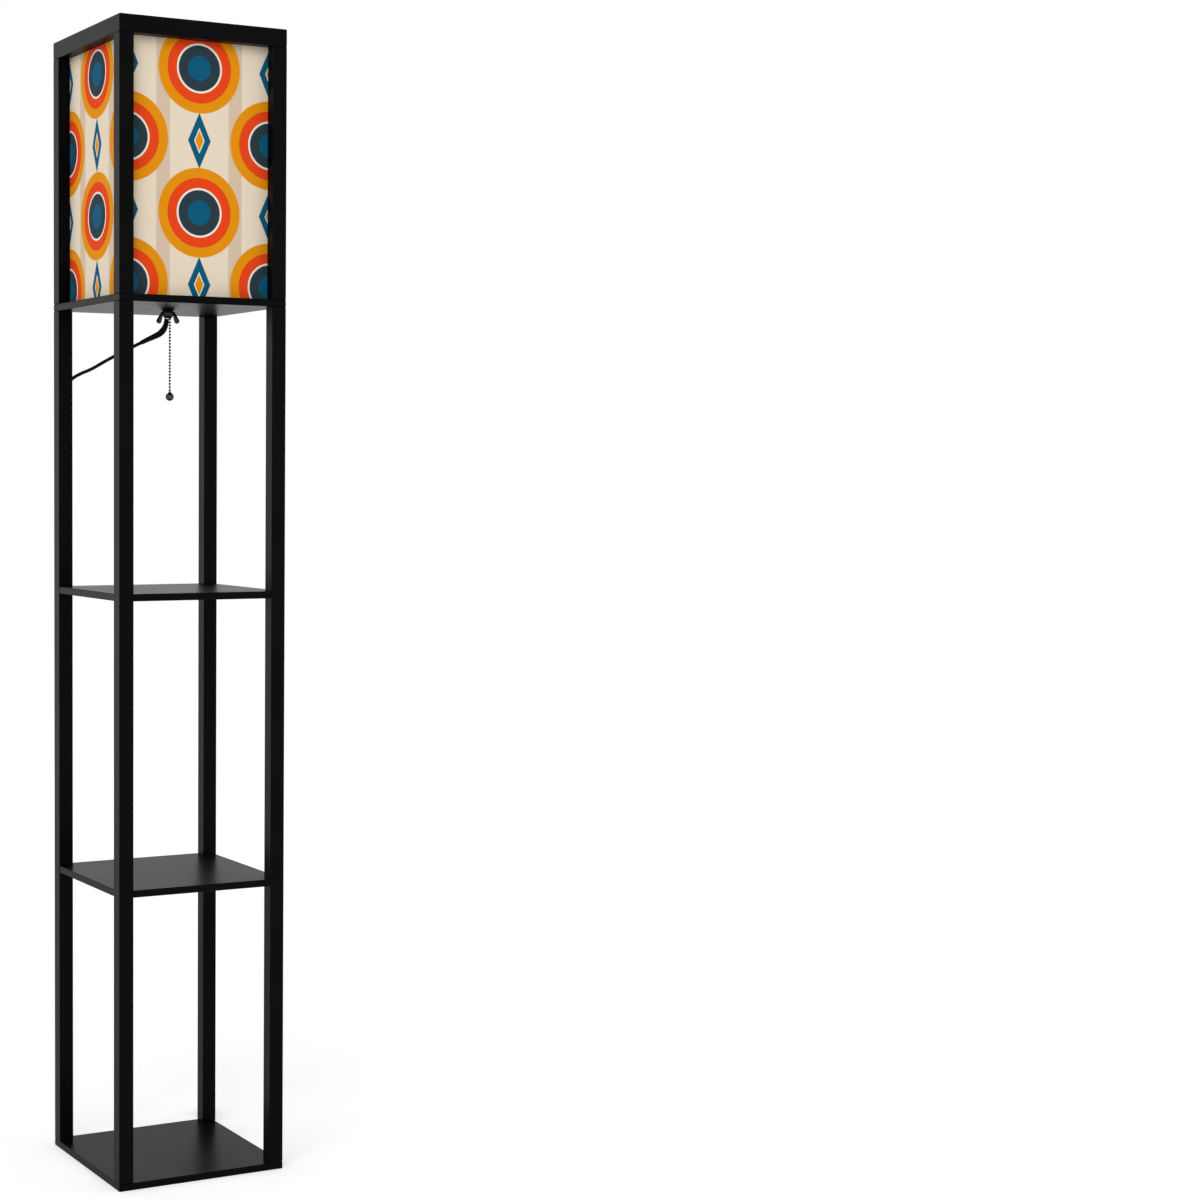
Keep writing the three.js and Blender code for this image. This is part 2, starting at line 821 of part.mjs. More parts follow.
function innerLead() {
  const cavityTop = lampShelfTop + lowerCavityTop - fitGap;
  const flangeTop = lampShelfTop + holderFloor + nippleFlangeHeight;
  const rise = cavityTop - flangeTop;
  const places = leadRiseShares.map((share, index) => {
    return besideMiddle(cordOffset + leadSpread * leadSpreadShares[index], flangeTop + rise * share);
  });
  const start = besideMiddle(cordOffset, mouthLevel + fitGap);
  const curve = smoothCurve([start, ...places]);
  return sweptTube(curve, 0, 1, leadSteps, cordSides, () => cordRadius);
}

function returnSpring() {
  const bottom = collarBottom + collarHeight + springWireRadius;
  const top = lampShelfTop + lowerCavityTop - springWireRadius;
  const line = new THREE.Curve();
  line.getPoint = (share) => {
    const angle = 2 * Math.PI * springTurns * share;
    const level = bottom + (top - bottom) * share;
    const point = new THREE.Vector3(Math.cos(angle), Math.sin(angle), 0);
    point.multiplyScalar(springCoilRadius).setZ(level);
    return point;
  };
  const steps = springTurns * springStepsPerTurn;
  return onChainLine(sweptTube(line, 0, 1, steps, springSides, () => springWireRadius));
}

function atPlug(geometry) {
  const [endX, endY, endZ] = cordRoute[cordRoute.length - 1];
  const [beforeX, beforeY] = cordRoute[cordRoute.length - 2];
  const turn = Math.atan2(endY - beforeY, endX - beforeX);
  return geometry.rotateZ(turn).translate(endX, endY, endZ);
}

function plugBody() {
  const start = plugNeckLength - plugNeckInside;
  const wideStart = start + plugShoulder;
  const end = start + plugLength;
  const wide = plugWidth / 2;
  const narrow = wide - plugTaper;
  const outline = [
    [start, -narrow],
    [wideStart, -wide],
    [end - plugBevel, -wide],
    [end, -wide + plugBevel],
    [end, wide - plugBevel],
    [end - plugBevel, wide],
    [wideStart, wide],
    [start, narrow],
  ];
  const neckProfile = [
    [0, fitGap],
    [plugNeckStartRadius, fitGap],
    [plugNeckEndRadius, plugNeckLength],
    [0, plugNeckLength],
  ];
  const grip = chamferedPlate(outline, -plugThickness / 2, plugThickness / 2, plugBevel);
  const neck = turned(neckProfile, smallSides).rotateY(Math.PI / 2);
  return atPlug(join([grip, neck]));
}

function plugInsert() {
  const face = plugNeckLength - plugNeckInside + plugLength + fitGap;
  const bladeStart = face + bridgeThickness / 2;
  const tip = face + bridgeThickness + bladeLength;
  const bridge = block(
    face, face + bridgeThickness, -bridgeWidth / 2, bridgeWidth / 2, -bridgeHeight / 2, bridgeHeight / 2,
  );
  const low = -bladeHeight / 2;
  const outline = [
    [bladeStart, low],
    [tip - bladeTipChamfer, low],
    [tip, low + bladeTipChamfer],
    [tip, -low - bladeTipChamfer],
    [tip - bladeTipChamfer, -low],
    [bladeStart, -low],
  ];
  const blade = chamferedPlate(outline, -bladeThickness / 2, bladeThickness / 2, bladeEdge);
  blade.rotateX(Math.PI / 2);
  const left = blade.clone().translate(0, bladeSpacing / 2, 0);
  const right = blade.clone().translate(0, -bladeSpacing / 2, 0);
  return atPlug(join([bridge, left, right]));
}

// Open ring round the cord on a small plate behind the rear-left post.
function cordClip(level) {
  const [cordX, cordY] = cordRoute[clipAfterSegments];
  const inner = cordRadius + fitGap;
  const outer = inner + clipRingWall;
  const mouth = THREE.MathUtils.degToRad(clipMouthTurn);
  const startAngle = Math.PI / 2 + mouth;
  const sweep = 2 * Math.PI - 2 * mouth;
  const ringSteps = 2 * arcSteps;
  const arc = (radius) => {
    const points = [];
    for (let step = 0; step <= ringSteps; step += 1) {
      const angle = startAngle + sweep * (step / ringSteps);
      points.push([cordX + radius * Math.cos(angle), cordY + radius * Math.sin(angle)]);
    }
    return points;
  };
  const outline = [...arc(outer), ...arc(inner).reverse()];
  const ring = chamferedPlate(outline, -clipRingHeight / 2, clipRingHeight / 2, clipEdge);
  const back = half + fitGap;
  const plateOutline = rectangleOutline(
    clipPlateLeft, clipPlateRight, -clipPlateHeight / 2, clipPlateHeight / 2, clipRingWall,
  );
  const plate = chamferedPlate(plateOutline, 0, clipPlateThickness, clipEdge);
  plate.rotateX(Math.PI / 2).translate(0, back + clipPlateThickness, 0);
  return join([plate, ring]).translate(0, 0, level);
}

function fourOf(prefix, names, geometry, finish) {
  return quarterTurns(geometry).map((turned, index) => piece(`${prefix}_${names[index]}`, turned, finish));
}

function frame() {
  return [
    piece('base_board', baseBoard(), 'lacquer'),
    piece('lower_shelf', notchedShelf(lowerShelfBottom), 'lacquer'),
    piece('middle_shelf', notchedShelf(middleShelfBottom), 'lacquer'),
    piece('lamp_shelf', lampShelf(), 'lacquer'),
    ...fourOf('lower_post', cornerNames, lowerPost(), 'lacquer'),
    ...fourOf('upper_post', cornerNames, upperPost(), 'lacquer'),
    ...fourOf('top_rail', sideNames, topRail(), 'lacquer'),
    ...fourOf('shade_panel', sideNames, shadePanel(), 'panel'),
  ];
}

function fixings() {
  return [
    ...fourOf('post_stud', cornerNames, stud(), 'steel'),
    ...fourOf('base_screw', cornerNames, screw(0, baseScrewLength, false), 'steel'),
    ...fourOf('top_screw', cornerNames, screw(frameHeight, topScrewLength, true), 'steel'),
    ...fourOf('lower_shelf_pin', cornerNames, shelfPin(lowerShelfBottom), 'steel'),
    ...fourOf('middle_shelf_pin', cornerNames, shelfPin(middleShelfBottom), 'steel'),
  ];
}

function lampHolder() {
  return [
    piece('socket_housing', holderHousing(), 'blackPlastic'),
    piece('screw_shell', screwShell(), 'brass'),
    piece('centre_contact', centreContact(), 'brass'),
    piece('bulb_cap', bulbCap(), 'steel'),
    piece('bulb_glass', bulbGlass(), 'glass'),
    piece('threaded_nipple', nipple(), 'darkChrome'),
    piece('washer', washer(), 'darkChrome'),
    piece('wing_nut', wingNut(), 'darkChrome'),
  ];
}

function pullSwitch() {
  return [
    piece('pull_rod', pullRod(), 'chrome'),
    piece('return_spring', returnSpring(), 'steel'),
    piece('chain_upper', chainUpper(), 'chrome'),
    piece('chain_lower', chainLower(), 'chrome'),
    piece('pull_ball', pullBall(), 'chrome'),
  ];
}

function mains() {
  return [
    piece('inner_lead', innerLead(), 'blackRubber'),
    piece('strain_relief', strainRelief(), 'blackRubber'),
    piece('power_cord', powerCord(), 'blackRubber'),
    piece('plug_body', plugBody(), 'blackRubber'),
    piece('plug_insert', plugInsert(), 'brass'),
    piece('cord_clip_upper', cordClip(clipUpperLevel), 'blackPlastic'),
    piece('cord_clip_lower', cordClip(clipLowerLevel), 'blackPlastic'),
  ];
}

const lamp = new THREE.Group();
lamp.name = 'shelf_floor_lamp';
lamp.add(...frame(), ...fixings(), ...lampHolder(), ...pullSwitch(), ...mains());

export default lamp;
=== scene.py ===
import math

import bmesh
import bpy
from mathutils import Matrix, Vector


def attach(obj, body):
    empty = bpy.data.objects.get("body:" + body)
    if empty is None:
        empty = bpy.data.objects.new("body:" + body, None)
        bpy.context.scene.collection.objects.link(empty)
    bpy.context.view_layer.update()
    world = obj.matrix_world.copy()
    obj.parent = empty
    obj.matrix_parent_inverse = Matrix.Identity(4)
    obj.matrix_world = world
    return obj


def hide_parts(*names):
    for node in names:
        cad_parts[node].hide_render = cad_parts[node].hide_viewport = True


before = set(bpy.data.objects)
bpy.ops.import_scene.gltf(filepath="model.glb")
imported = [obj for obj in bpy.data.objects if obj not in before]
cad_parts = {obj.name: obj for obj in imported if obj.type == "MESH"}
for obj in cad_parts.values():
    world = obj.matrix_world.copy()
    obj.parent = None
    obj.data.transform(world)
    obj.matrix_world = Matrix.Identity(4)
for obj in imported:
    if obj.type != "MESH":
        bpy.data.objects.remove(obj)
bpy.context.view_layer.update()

# All lengths are metres in the frame of the solids. Profiles list radius and level, going
# round the section.

# Camera
CAMERA_AZIMUTH = math.radians(-23.414)
CAMERA_DISTANCE = 3.2833
CAMERA_HEIGHT = 0.9866
CAMERA_YAW = math.radians(3.299)
CAMERA_PITCH = math.radians(3.147)
CAMERA_ROLL = math.radians(0.251)
CAMERA_LENS = 69.036
CAMERA_SHIFT = 0.25
CAMERA_SENSOR = 36
CAMERA_SIGHT = 100

# Frame
SHELF_TOP = 1.228
SHELF_BOTTOM = 1.218
PANEL_MIDDLE = 0.107
CORNERS = ("front_left", "front_right", "rear_right", "rear_left")
FIT_GAP = 0.0003
SMALL_EDGE = 0.0003
MERGE_DISTANCE = 1e-7

# Cord and its sleeve
CORD_DIAMETER = 0.005
CORD_SMOOTHNESS = 4
SLEEVE_SEGMENTS = 7
SEGMENTS_IN_SLEEVE = 2
SLEEVE_RADII = (0.0032, 0.0047, 0.0031)
SLEEVE_WIDEST_SHARE = 0.35
SLEEVE_RIB = 0.00035
SLEEVE_SIDES = 24
SLEEVE_PLAIN_RINGS = 8
RINGS_PER_RIB = 3
POINTS_PER_SEGMENT = 10
CORD_ROUTE = [
    (-0.0012, 0.0016, 1.2048),
    (-0.0019, 0.0024, 1.1972),
    (-0.0042, 0.0053, 1.1898),
    (-0.0080, 0.0100, 1.1842),
    (-0.0125, 0.0156, 1.1808),
    (-0.0172, 0.0216, 1.1779),
    (-0.0220, 0.0275, 1.1749),
    (-0.0267, 0.0334, 1.1718),
    (-0.0375, 0.0469, 1.1648),
    (-0.0487, 0.0609, 1.1572),
    (-0.0624, 0.0781, 1.1472),
    (-0.0780, 0.0976, 1.1354),
    (-0.0896, 0.1120, 1.1286),
    (-0.0972, 0.1212, 1.1226),
    (-0.1028, 0.1281, 1.1147),
    (-0.1068, 0.1307, 1.1060),
    (-0.1080, 0.1310, 1.0950),
    (-0.1080, 0.1310, 1.0820),
    (-0.1080, 0.1310, 0.9000),
    (-0.1080, 0.1310, 0.6000),
    (-0.1080, 0.1310, 0.3000),
    (-0.1080, 0.1310, 0.0800),
    (-0.1080, 0.1309, 0.0284),
    (-0.1046, 0.1306, 0.0158),
    (-0.0954, 0.1302, 0.0066),
    (-0.0826, 0.1299, 0.0031),
    (-0.0660, 0.1297, 0.0029),
    (-0.0200, 0.1295, 0.0029),
    (0.0400, 0.1295, 0.0029),
    (0.0880, 0.1296, 0.0029),
    (0.1046, 0.1302, 0.0031),
    (0.1158, 0.1336, 0.0040),
    (0.1242, 0.1406, 0.0054),
    (0.1292, 0.1492, 0.0068),
    (0.1326, 0.1568, 0.0076),
]

# Plug, lengths along it from the cord's end
PLUG_START = 0.010
PLUG_SHOULDER = 0.016
PLUG_END = 0.037
PLUG_HALF_WIDTH = 0.010
PLUG_HALF_START = 0.0055
PLUG_HALF_HEIGHT = 0.0074
PLUG_CORNER = 0.002
PLUG_ROUNDING = 0.0016
NECK_SIDES = 24
NECK_RIBS = 4
NECK_RIB_PITCH = 0.003
NECK_RIB_LENGTH = 0.0019
NECK_GROOVE_START = 0.0022
NECK_GROOVE_END = 0.0028
NECK_GROOVE_DEPTH = 0.0005
NECK_RADIUS = 0.0031
NECK_GROWTH = 0.0005
NECK_END_RADIUS = 0.0052
NECK_LAST_RING = 0.0126
NECK_LENGTH = 0.013

# Pull chain
CHAIN_TURN = math.radians(128.6)
CHAIN_OFFSET = 0.0031
BEAD_RADIUS = 0.0016
BEAD_PITCH = 0.00435
BEAD_SIDES = 16
BEAD_STEPS = 10
WIRE_RADIUS = 0.0004
UPPER_PIVOT = 1.204
LOWER_PIVOT = 1.1953
ROD_BEADS = 3
ROD_RADIUS = 0.0008
ROD_SIDES = 24
CHAIN_BEADS = 21
COLLAR_LEVEL = 1.248
COLLAR_RADIUS = 0.003
COLLAR_HEIGHT = 0.002
BALL_RADIUS = 0.0058
BALL_DROP = 0.0076
BALL_SIDES = 32
BALL_STEPS = 20
BALL_NECK_FOOT = 0.0022
BALL_NECK_RADIUS = 0.0020
BALL_NECK_TOP = 0.0016
BALL_NECK_ROUNDING = 0.0005

# Wing nut, washer and threaded tube under the lamp shelf
WASHER_THICKNESS = 0.0015
WASHER_BORE = 0.0064
WASHER_PROFILE = [
    (WASHER_BORE, 0), (0.0095, 0), (0.010, 0.0004), (0.010, 0.0012), (0.0098, WASHER_THICKNESS),
    (WASHER_BORE, WASHER_THICKNESS), (WASHER_BORE, 0),
]
NUT_PROFILE = [
    (0.0063, -0.009), (0.0064, -0.009), (0.0066, -0.0087), (0.0070, -0.0084), (0.0073, -0.006),
    (0.0078, -0.0008), (0.0076, -0.0002), (0.0072, 0), (0.0063, 0), (0.0063, -0.009),
]
NUT_SIDES = 48
NUT_TURN = math.radians(-23.7)
WING_ROOT = (0.0076, -0.0042)
WING_TIP = (0.0126, -0.015)
WING_ROOT_RADIUS = 0.0026
WING_TIP_RADIUS = 0.0038
WING_INNER = 0.0066
WING_HALF_THICKNESS = 0.0012
WING_ROUNDING = 0.0005
MOUTH_LEVEL = 1.2055
TUBE_BORE = 0.0050
TUBE_RADIUS = 0.0060
TUBE_SIDES = 40
THREAD_ROOT = 0.0055
THREAD_TURNS = 11
THREAD_PITCH = 0.0011
THREAD_START = 0.0005
TUBE_PLAIN_START = 0.0127
FLANGE_RADIUS = 0.009
FLANGE_BOTTOM = 1.232
FLANGE_TOP = 1.2345

# Lamp holder, levels from the shelf's top
HOLDER_SIDES = 64
HOLDER_FOOT_PROFILE = [
    (0.0063, 0), (0.0190, 0), (0.0197, 0.0003), (0.020, 0.001), (0.020, 0.0405), (0.0198, 0.0418),
    (0.0190, 0.0425), (0.0182, 0.044), (0.0182, 0.0475),
]
HOLDER_RIDGES = 5
RIDGE_START = 0.0485
RIDGE_PITCH = 0.0044
RIDGE_PROFILE = [(0.0182, 0), (0.0178, 0.0008), (0.0178, 0.0024), (0.0182, 0.0032)]
HOLDER_TOP_PROFILE = [
    (0.0182, 0.073), (0.0178, 0.0738), (0.0172, 0.074), (0.0146, 0.074), (0.0146, 0.044),
    (0.0025, 0.044), (0.0025, 0.040), (0.016, 0.040), (0.016, 0.004), (0.0063, 0.004), (0.0063, 0),
]

# Bulb, levels from its foot
BULB_FOOT = 1.2753
CAP_SIDES = 48
CAP_FOOT_PROFILE = [(0, 0), (0.0040, 0), (0.0046, 0.0002), (0.0062, 0.0016), (0.0114, 0.0054)]
CAP_TOP = 0.025
CAP_ROOT_RADIUS = 0.0124
CAP_THREAD_DEPTH = 0.0006
CAP_THREAD_START = 0.0072
CAP_THREAD_PITCH = 0.0036
CAP_THREAD_TURNS = 4
STEPS_PER_TURN = 8
GLASS_SIDES = 64
GLASS_NECK_PROFILE = [
    (0.0124, 0.025), (0.0127, 0.0285), (0.0132, 0.0320), (0.0142, 0.0370), (0.0155, 0.0420),
    (0.0174, 0.0470), (0.0196, 0.0520), (0.0221, 0.0567), (0.0246, 0.0615), (0.0267, 0.0660),
    (0.0284, 0.0705), (0.0295, 0.0755),
]
GLASS_CENTRE = 0.080
GLASS_RADIUS = 0.030
GLASS_WALL = 0.0008
GLASS_STEPS = 18

# Looks. Colours are linear unless written() makes them so; noise scales are per metre.
LACQUER_DARK = (0.0016, 0.0016, 0.0019, 1)
LACQUER_LIGHT = (0.0034, 0.0034, 0.0038, 1)
LACQUER_GLOSS = 0.035
RUBBER_GLOSS = 0.055
CLOTH_GLOSS = 0.2
DARK_RIM = (0.15, 0.15, 0.15, 1)
GRAIN_LONG = 6
GRAIN_ACROSS = 160
LINER_DARK = (0.78, 0.77, 0.74, 1)
LINER_LIGHT = (0.84, 0.83, 0.80, 1)
GLASS_DARK = (0.86, 0.85, 0.81, 1)
GLASS_LIGHT = (0.93, 0.92, 0.88, 1)
GLASS_CLEARNESS = 0.25
RUBBER_DARK = (0.0025, 0.0025, 0.003, 1)
RUBBER_LIGHT = (0.005, 0.005, 0.0055, 1)
PLASTIC_DARK = (0.010, 0.010, 0.011, 1)
PLASTIC_LIGHT = (0.018, 0.018, 0.019, 1)
BEAD_DARK = (0.008, 0.008, 0.009, 1)
BEAD_LIGHT = (0.018, 0.018, 0.019, 1)
NUT_DARK = (0.018, 0.018, 0.019, 1)
NUT_LIGHT = (0.04, 0.04, 0.042, 1)
BALL_DARK = (0.045, 0.045, 0.048, 1)
BALL_LIGHT = (0.075, 0.075, 0.078, 1)
ZINC_DARK = (0.42, 0.42, 0.44, 1)
ZINC_LIGHT = (0.58, 0.58, 0.6, 1)
BRASS_DARK = (0.50, 0.34, 0.12, 1)
BRASS_LIGHT = (0.66, 0.47, 0.19, 1)

# Print on the shade, measured on the cloth
PRINT_WIDTH = 0.2152
PRINT_PITCH = 0.196
PRINT_LEVEL = 1.343
RING_RADIUS = 0.061
RING_RANGE = 0.08
RING_SHARES = (0.0, 0.21, 0.385, 0.42, 0.59)
DIAMOND_HALF_WIDTH = 0.017
DIAMOND_HALF_HEIGHT = 0.038
DIAMOND_SHARES = (0.0, 0.36, 0.46)
BAND_PLACE = 0.054
BAND_HALF = 0.010
THREAD_TURN_RATE = 5200
THREAD_LENGTHWISE = 60
THREAD_CROSSWISE = 900
EDGE_WANDER = 0.0006

# Floor and light
FLOOR_REACH = 14
FLOOR_COLOUR = (0.86, 0.86, 0.86, 1)
FLOOR_ROUGHNESS = 0.9
FLOOR_FADE = 3.5
FLOOR_GLOW_NEAR = 0.41
FLOOR_GLOW_FAR = 0.54
SURROUND_LIGHT = 0.55
SURROUND_SEEN = 1.0
WHITE = (1, 1, 1, 1)
LAMP_TARGET = (0, 0, 0.9)
LAMPS = [
    ("key", (-2.6, -3.0, 3.0), 2.4, 62),
    ("fill", (2.8, -2.2, 1.8), 2.4, 14),
    ("edge", (-2.6, 3.6, 1.3), 2.8, 26),
]


def curve_points(route, per_segment, first=0):
    """Centripetal curve through the route's points, from the first segment asked for."""
    points = [Vector(point) for point in route]
    before = points[0] * 2 - points[1]
    after = points[-1] * 2 - points[-2]
    padded = [before] + points + [after]
    found = []
    for index in range(first, len(points) - 1):
        p0, p1, p2, p3 = padded[index:index + 4]
        d0 = math.sqrt((p1 - p0).length)
        d1 = math.sqrt((p2 - p1).length)
        d2 = math.sqrt((p3 - p2).length)
        t1 = ((p1 - p0) / d0 - (p2 - p0) / (d0 + d1) + (p2 - p1) / d1) * d1
        t2 = ((p2 - p1) / d1 - (p3 - p1) / (d1 + d2) + (p3 - p2) / d2) * d1
        for step in range(per_segment):
            t = step / per_segment
            square = (p2 - p1) * 3 - t1 * 2 - t2
            cube = (p1 - p2) * 2 + t1 + t2
            found.append(p1 + t1 * t + square * t * t + cube * t * t * t)
    found.append(points[-1])
    return found


def make_camera():
    forward = Vector((-math.sin(CAMERA_AZIMUTH), math.cos(CAMERA_AZIMUTH), 0))
    right = Vector((math.cos(CAMERA_AZIMUTH), math.sin(CAMERA_AZIMUTH), 0))
    up = Vector((0, 0, 1))
    aim = forward * math.cos(CAMERA_YAW) + right * math.sin(CAMERA_YAW)
    side = right * math.cos(CAMERA_YAW) - forward * math.sin(CAMERA_YAW)
    ahead = aim * math.cos(CAMERA_PITCH) - up * math.sin(CAMERA_PITCH)
    above = up * math.cos(CAMERA_PITCH) + aim * math.sin(CAMERA_PITCH)
    rolled_side = side * math.cos(CAMERA_ROLL) + above * math.sin(CAMERA_ROLL)
    rolled_up = above * math.cos(CAMERA_ROLL) - side * math.sin(CAMERA_ROLL)
    turned = Matrix((rolled_side, rolled_up, -ahead)).transposed().to_4x4()
    turned.translation = forward * -CAMERA_DISTANCE + up * CAMERA_HEIGHT
    data = bpy.data.cameras.new("camera")
    data.sensor_width = CAMERA_SENSOR
    data.lens = CAMERA_LENS
    data.shift_x = CAMERA_SHIFT
    data.clip_end = CAMERA_SIGHT
    camera = bpy.data.objects.new("camera", data)
    camera.matrix_world = turned
    bpy.context.scene.collection.objects.link(camera)
    bpy.context.scene.camera = camera


class Shading:
    """A material's node tree, with short calls to add and join nodes."""

    def __init__(self, name):
        self.material = bpy.data.materials.new(name)
        self.material.use_nodes = True
        self.tree = self.material.node_tree
        self.shader = self.tree.nodes["Principled BSDF"]

    def node(self, kind, **settings):
        made = self.tree.nodes.new(kind)
        for key, value in settings.items():
            setattr(made, key, value)
        return made

    def feed(self, socket, value):
        if isinstance(value, bpy.types.NodeSocket):
            self.tree.links.new(value, socket)
        else:
            socket.default_value = value

    def math(self, operation, *values):
        made = self.node("ShaderNodeMath", operation=operation)
        for socket, value in zip(made.inputs, values):
            self.feed(socket, value)
        return made.outputs[0]

    def length(self, first, second):
        """Length of the flat vector with the two values as its sides."""
        squares = [self.math("MULTIPLY", value, value) for value in (first, second)]
        return self.math("SQRT", self.math("ADD", *squares))

    def mix(self, share, first, second):
        made = self.node("ShaderNodeMix", data_type="RGBA")
        self.feed(made.inputs["Factor"], share)
        self.feed(made.inputs[6], first)
        self.feed(made.inputs[7], second)
        return made.outputs[2]

    def place(self):
        return self.node("ShaderNodeTexCoord").outputs["Object"]

    def parts_of(self, vector):
        made = self.node("ShaderNodeSeparateXYZ")
        self.feed(made.inputs[0], vector)
        return made.outputs

    def stretched(self, vector, scale):
        made = self.node("ShaderNodeVectorMath", operation="MULTIPLY")
        self.feed(made.inputs[0], vector)
        made.inputs[1].default_value = scale
        return made.outputs[0]

    def noise(self, vector, scale, detail=3):
        made = self.node("ShaderNodeTexNoise")
        self.feed(made.inputs["Vector"], vector)
        made.inputs["Scale"].default_value = scale
        made.inputs["Detail"].default_value = detail
        return made.outputs["Fac"]

    def between(self, value, low, high):
        made = self.node("ShaderNodeMapRange")
        self.feed(made.inputs["Value"], value)
        made.inputs["To Min"].default_value = low
        made.inputs["To Max"].default_value = high
        return made.outputs["Result"]

    def steps(self, value, shares, colours):
        made = self.node("ShaderNodeValToRGB")
        ramp = made.color_ramp
        ramp.interpolation = "CONSTANT"
        while len(ramp.elements) < len(colours):
            ramp.elements.new(1.0)
        for element, share, colour in zip(ramp.elements, shares, colours):
            element.position = share
            element.color = colour
        self.feed(made.inputs[0], value)
        return made.outputs[0]

    def bump(self, height, strength, distance):
        made = self.node("ShaderNodeBump")
        made.inputs["Strength"].default_value = strength
        made.inputs["Distance"].default_value = distance
        self.feed(made.inputs["Height"], height)
        self.feed(self.shader.inputs["Normal"], made.outputs[0])

    def set(self, name, value):
        self.feed(self.shader.inputs[name], value)


def written(red, green, blue):
    """Colour as it is written in a picture, 0 to 255, made linear."""
    def linear(value):
        share = value / 255
        return share / 12.92 if share <= 0.04045 else ((share + 0.055) / 1.055) ** 2.4
    return (linear(red), linear(green), linear(blue), 1)


CREAM = written(240, 224, 200)
BEIGE = written(222, 198, 172)
ORANGE = written(235, 149, 3)
RED = written(239, 71, 19)
SLATE = written(42, 59, 68)
TEAL = written(0, 91, 124)
PALE = written(245, 238, 225)


def lacquer(name, grain):
    """Black satin lacquer over wood, its faint grain running along one axis."""
    made = Shading(name)
    place = made.place()
    fibre = made.stretched(place, [GRAIN_LONG if axis == grain else GRAIN_ACROSS for axis in range(3)])
    lines = made.noise(fibre, scale=2.2, detail=5)
    clouds = made.noise(place, scale=9)
    peel = made.noise(place, scale=420, detail=2)
    made.set("Base Color", made.mix(clouds, LACQUER_DARK, LACQUER_LIGHT))
    made.set("Roughness", made.between(made.math("ADD", lines, clouds), low=0.23, high=0.34))
    made.set("Specular IOR Level", LACQUER_GLOSS)
    made.bump(made.math("ADD", lines, made.math("MULTIPLY", peel, 0.3)), strength=0.12, distance=0.0004)
    return made.material


def plain(name, dark, light, roughness, metallic=0.0, scale=120, depth=0.1):
    """Moulded or turned surface with mottled colour and sheen."""
    made = Shading(name)
    place = made.place()
    mottle = made.noise(place, scale, detail=4)
    fine = made.noise(place, scale * 6, detail=2)
    made.set("Base Color", made.mix(mottle, dark, light))
    made.set("Roughness", made.between(fine, roughness * 0.8, roughness * 1.2))
    made.set("Metallic", metallic)
    made.bump(fine, depth, distance=0.0002)
    return made


def dark_metal(name, dark, light, roughness, scale, depth):
    """Black-plated metal, its rims dark as well."""
    made = plain(name, dark, light, roughness, 1.0, scale, depth)
    made.set("Specular Tint", DARK_RIM)
    return made.material


def printed_colour(made, across, place, parts):
    """Rings, diamonds and straight bands on cream, the same on both sides of the middle."""
    side = made.math("ABSOLUTE", parts[across])
    uneven = made.math("SUBTRACT", made.noise(place, scale=900, detail=1), 0.5)
    wander = made.math("MULTIPLY", uneven, EDGE_WANDER)
    rise = made.math("SUBTRACT", parts[2], PRINT_LEVEL)
    even = made.math("WRAP", rise, PRINT_PITCH / 2, -PRINT_PITCH / 2)
    shifted = made.math("SUBTRACT", rise, PRINT_PITCH / 2)
    odd = made.math("WRAP", shifted, PRINT_PITCH / 2, -PRINT_PITCH / 2)
    edge = made.math("SUBTRACT", side, PRINT_WIDTH / 2)

    def diamond_share(first, second):
        wide = made.math("DIVIDE", made.math("ABSOLUTE", first), DIAMOND_HALF_WIDTH)
        tall = made.math("DIVIDE", made.math("ABSOLUTE", second), DIAMOND_HALF_HEIGHT)
        return made.math("ADD", wide, tall)

    rings = made.math("MINIMUM", made.length(side, even), made.length(edge, odd))
    rings = made.math("ADD", rings, wander)
    diamonds = made.math("MINIMUM", diamond_share(side, odd), diamond_share(edge, even))
    ring_shares = made.math("DIVIDE", rings, RING_RANGE)
    ring_print = made.steps(ring_shares, RING_SHARES, [TEAL, SLATE, PALE, RED, ORANGE])
    diamond_print = made.steps(diamonds, DIAMOND_SHARES, [ORANGE, PALE, TEAL])
    ground = made.mix(made.math("COMPARE", side, BAND_PLACE, BAND_HALF), CREAM, BEIGE)
    ground = made.mix(made.math("LESS_THAN", diamonds, 1.0), ground, diamond_print)
    return made.mix(made.math("LESS_THAN", rings, RING_RADIUS), ground, ring_print)


def woven_threads(made, across, place, parts):
    """Height of the linen's threads: a fine weave with thicker threads here and there."""
    warp = made.math("SINE", made.math("MULTIPLY", parts[across], THREAD_TURN_RATE))
    weft = made.math("SINE", made.math("MULTIPLY", parts[2], THREAD_TURN_RATE))
    weave = made.math("MULTIPLY", warp, weft)
    level = (THREAD_LENGTHWISE, THREAD_LENGTHWISE, THREAD_CROSSWISE)
    upright = (THREAD_CROSSWISE, THREAD_CROSSWISE, THREAD_LENGTHWISE)
    slub = made.noise(made.stretched(place, level), scale=1.6)
    streak = made.noise(made.stretched(place, upright), scale=1.6)
    return made.math("ADD", made.math("MULTIPLY", weave, 0.25), made.math("ADD", slub, streak))


